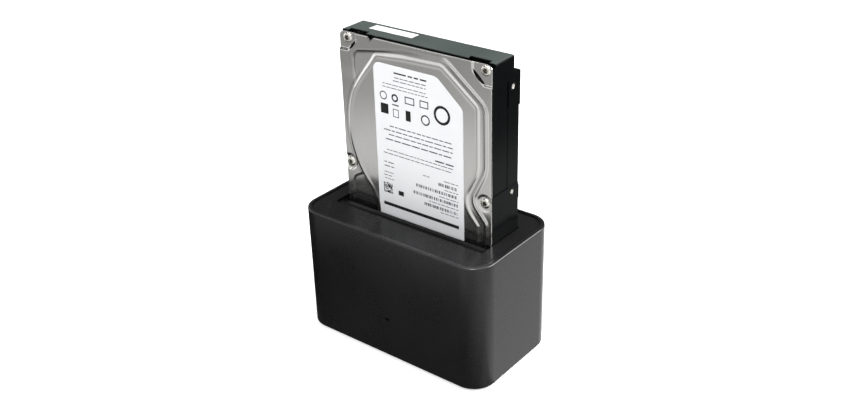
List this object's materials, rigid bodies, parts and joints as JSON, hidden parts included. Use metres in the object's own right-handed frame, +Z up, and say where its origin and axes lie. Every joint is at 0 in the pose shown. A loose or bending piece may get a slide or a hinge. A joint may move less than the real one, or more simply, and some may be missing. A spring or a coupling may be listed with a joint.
{
  "type": "hard drive docking station",
  "caption": "Upright dock with rounded corners whose top slot takes a hard drive, with a dust flap, rear ports and a push button, shown with a drive seated",
  "frame": {"origin": "on the table, under the middle of the dock's footprint", "axes": "+Z up along the drive's lift, -Y towards the front with the status light, +X to the right"},
  "size_m": [0.128, 0.0716, 0.1789],
  "materials": {
    "shell_plastic": "fine textured moulding",
    "plate_plastic": "satin moulding",
    "inner_plastic": "plain moulding",
    "flap_plastic": "satin moulding",
    "button_plastic": "satin moulding",
    "foot_rubber": "matte",
    "screw_steel": "plated",
    "spring_steel": "drawn wire",
    "circuit_board": "solder mask",
    "connector_plastic": "moulded",
    "chip_plastic": "moulded",
    "capacitor_sleeve": "shrunk sleeve",
    "led_plastic": "moulded",
    "light_pipe_plastic": "smoked clear",
    "usb_plastic": "moulded",
    "port_nickel": "nickel plated",
    "contact_gold": "gold plated",
    "drive_casting_metal": "black coated casting",
    "drive_cover_metal": "stamped sheet",
    "motor_metal": "machined",
    "label_paper": "blank printed label stock"
  },
  "bodies": {
    "dock": {"outer_shell": "shell_plastic", "top_plate": "plate_plastic", "drive_cradle": "inner_plastic", "base_plate": "inner_plastic", "rubber_feet": "foot_rubber", "base_screws": "screw_steel", "top_screws": "screw_steel", "cradle_screws": "screw_steel", "board_screws": "screw_steel", "main_board": "circuit_board", "sata_socket": "connector_plastic", "sata_contacts": "contact_gold", "bridge_chip": "chip_plastic", "flash_chip": "chip_plastic", "crystal_can": "port_nickel", "filter_capacitors": "capacitor_sleeve", "power_inductor": "chip_plastic", "status_led": "led_plastic", "light_pipe": "light_pipe_plastic", "usb_port_shell": "port_nickel", "usb_port_insert": "usb_plastic", "dc_jack_body": "connector_plastic", "dc_jack_pin": "port_nickel", "power_switch_body": "connector_plastic"},
    "flap": {"flap_door": "flap_plastic", "flap_pins": "screw_steel", "flap_spring": "spring_steel"},
    "power_button": {"power_button": "button_plastic"},
    "drive": {"drive_casting": "drive_casting_metal", "drive_cover": "drive_cover_metal", "drive_cover_screws": "screw_steel", "drive_label": "label_paper", "drive_end_label": "label_paper", "drive_board": "circuit_board", "drive_board_screws": "screw_steel", "drive_motor_plate": "motor_metal", "drive_sata_plug": "connector_plastic", "drive_plug_contacts": "contact_gold"}
  },
  "joints": [
    {"name": "drive_lift", "type": "slide", "parent": "dock", "child": "drive", "axis": [0, 0, 1], "range_m": [0, 0.18]},
    {"name": "flap_hinge", "type": "hinge", "parent": "dock", "child": "flap", "pos_m": [0, -0.0133, 0.0736], "axis": [1, 0, 0], "range_deg": [0, 99]},
    {"name": "power_press", "type": "slide", "parent": "dock", "child": "power_button", "axis": [0, -1, 0], "range_m": [0, 0.0015], "stiffness_N_per_m": 400}
  ],
  "couplings": [
    {"joint": "flap_hinge", "follows": "drive_lift", "rad_per_m": 9.599}
  ]
}
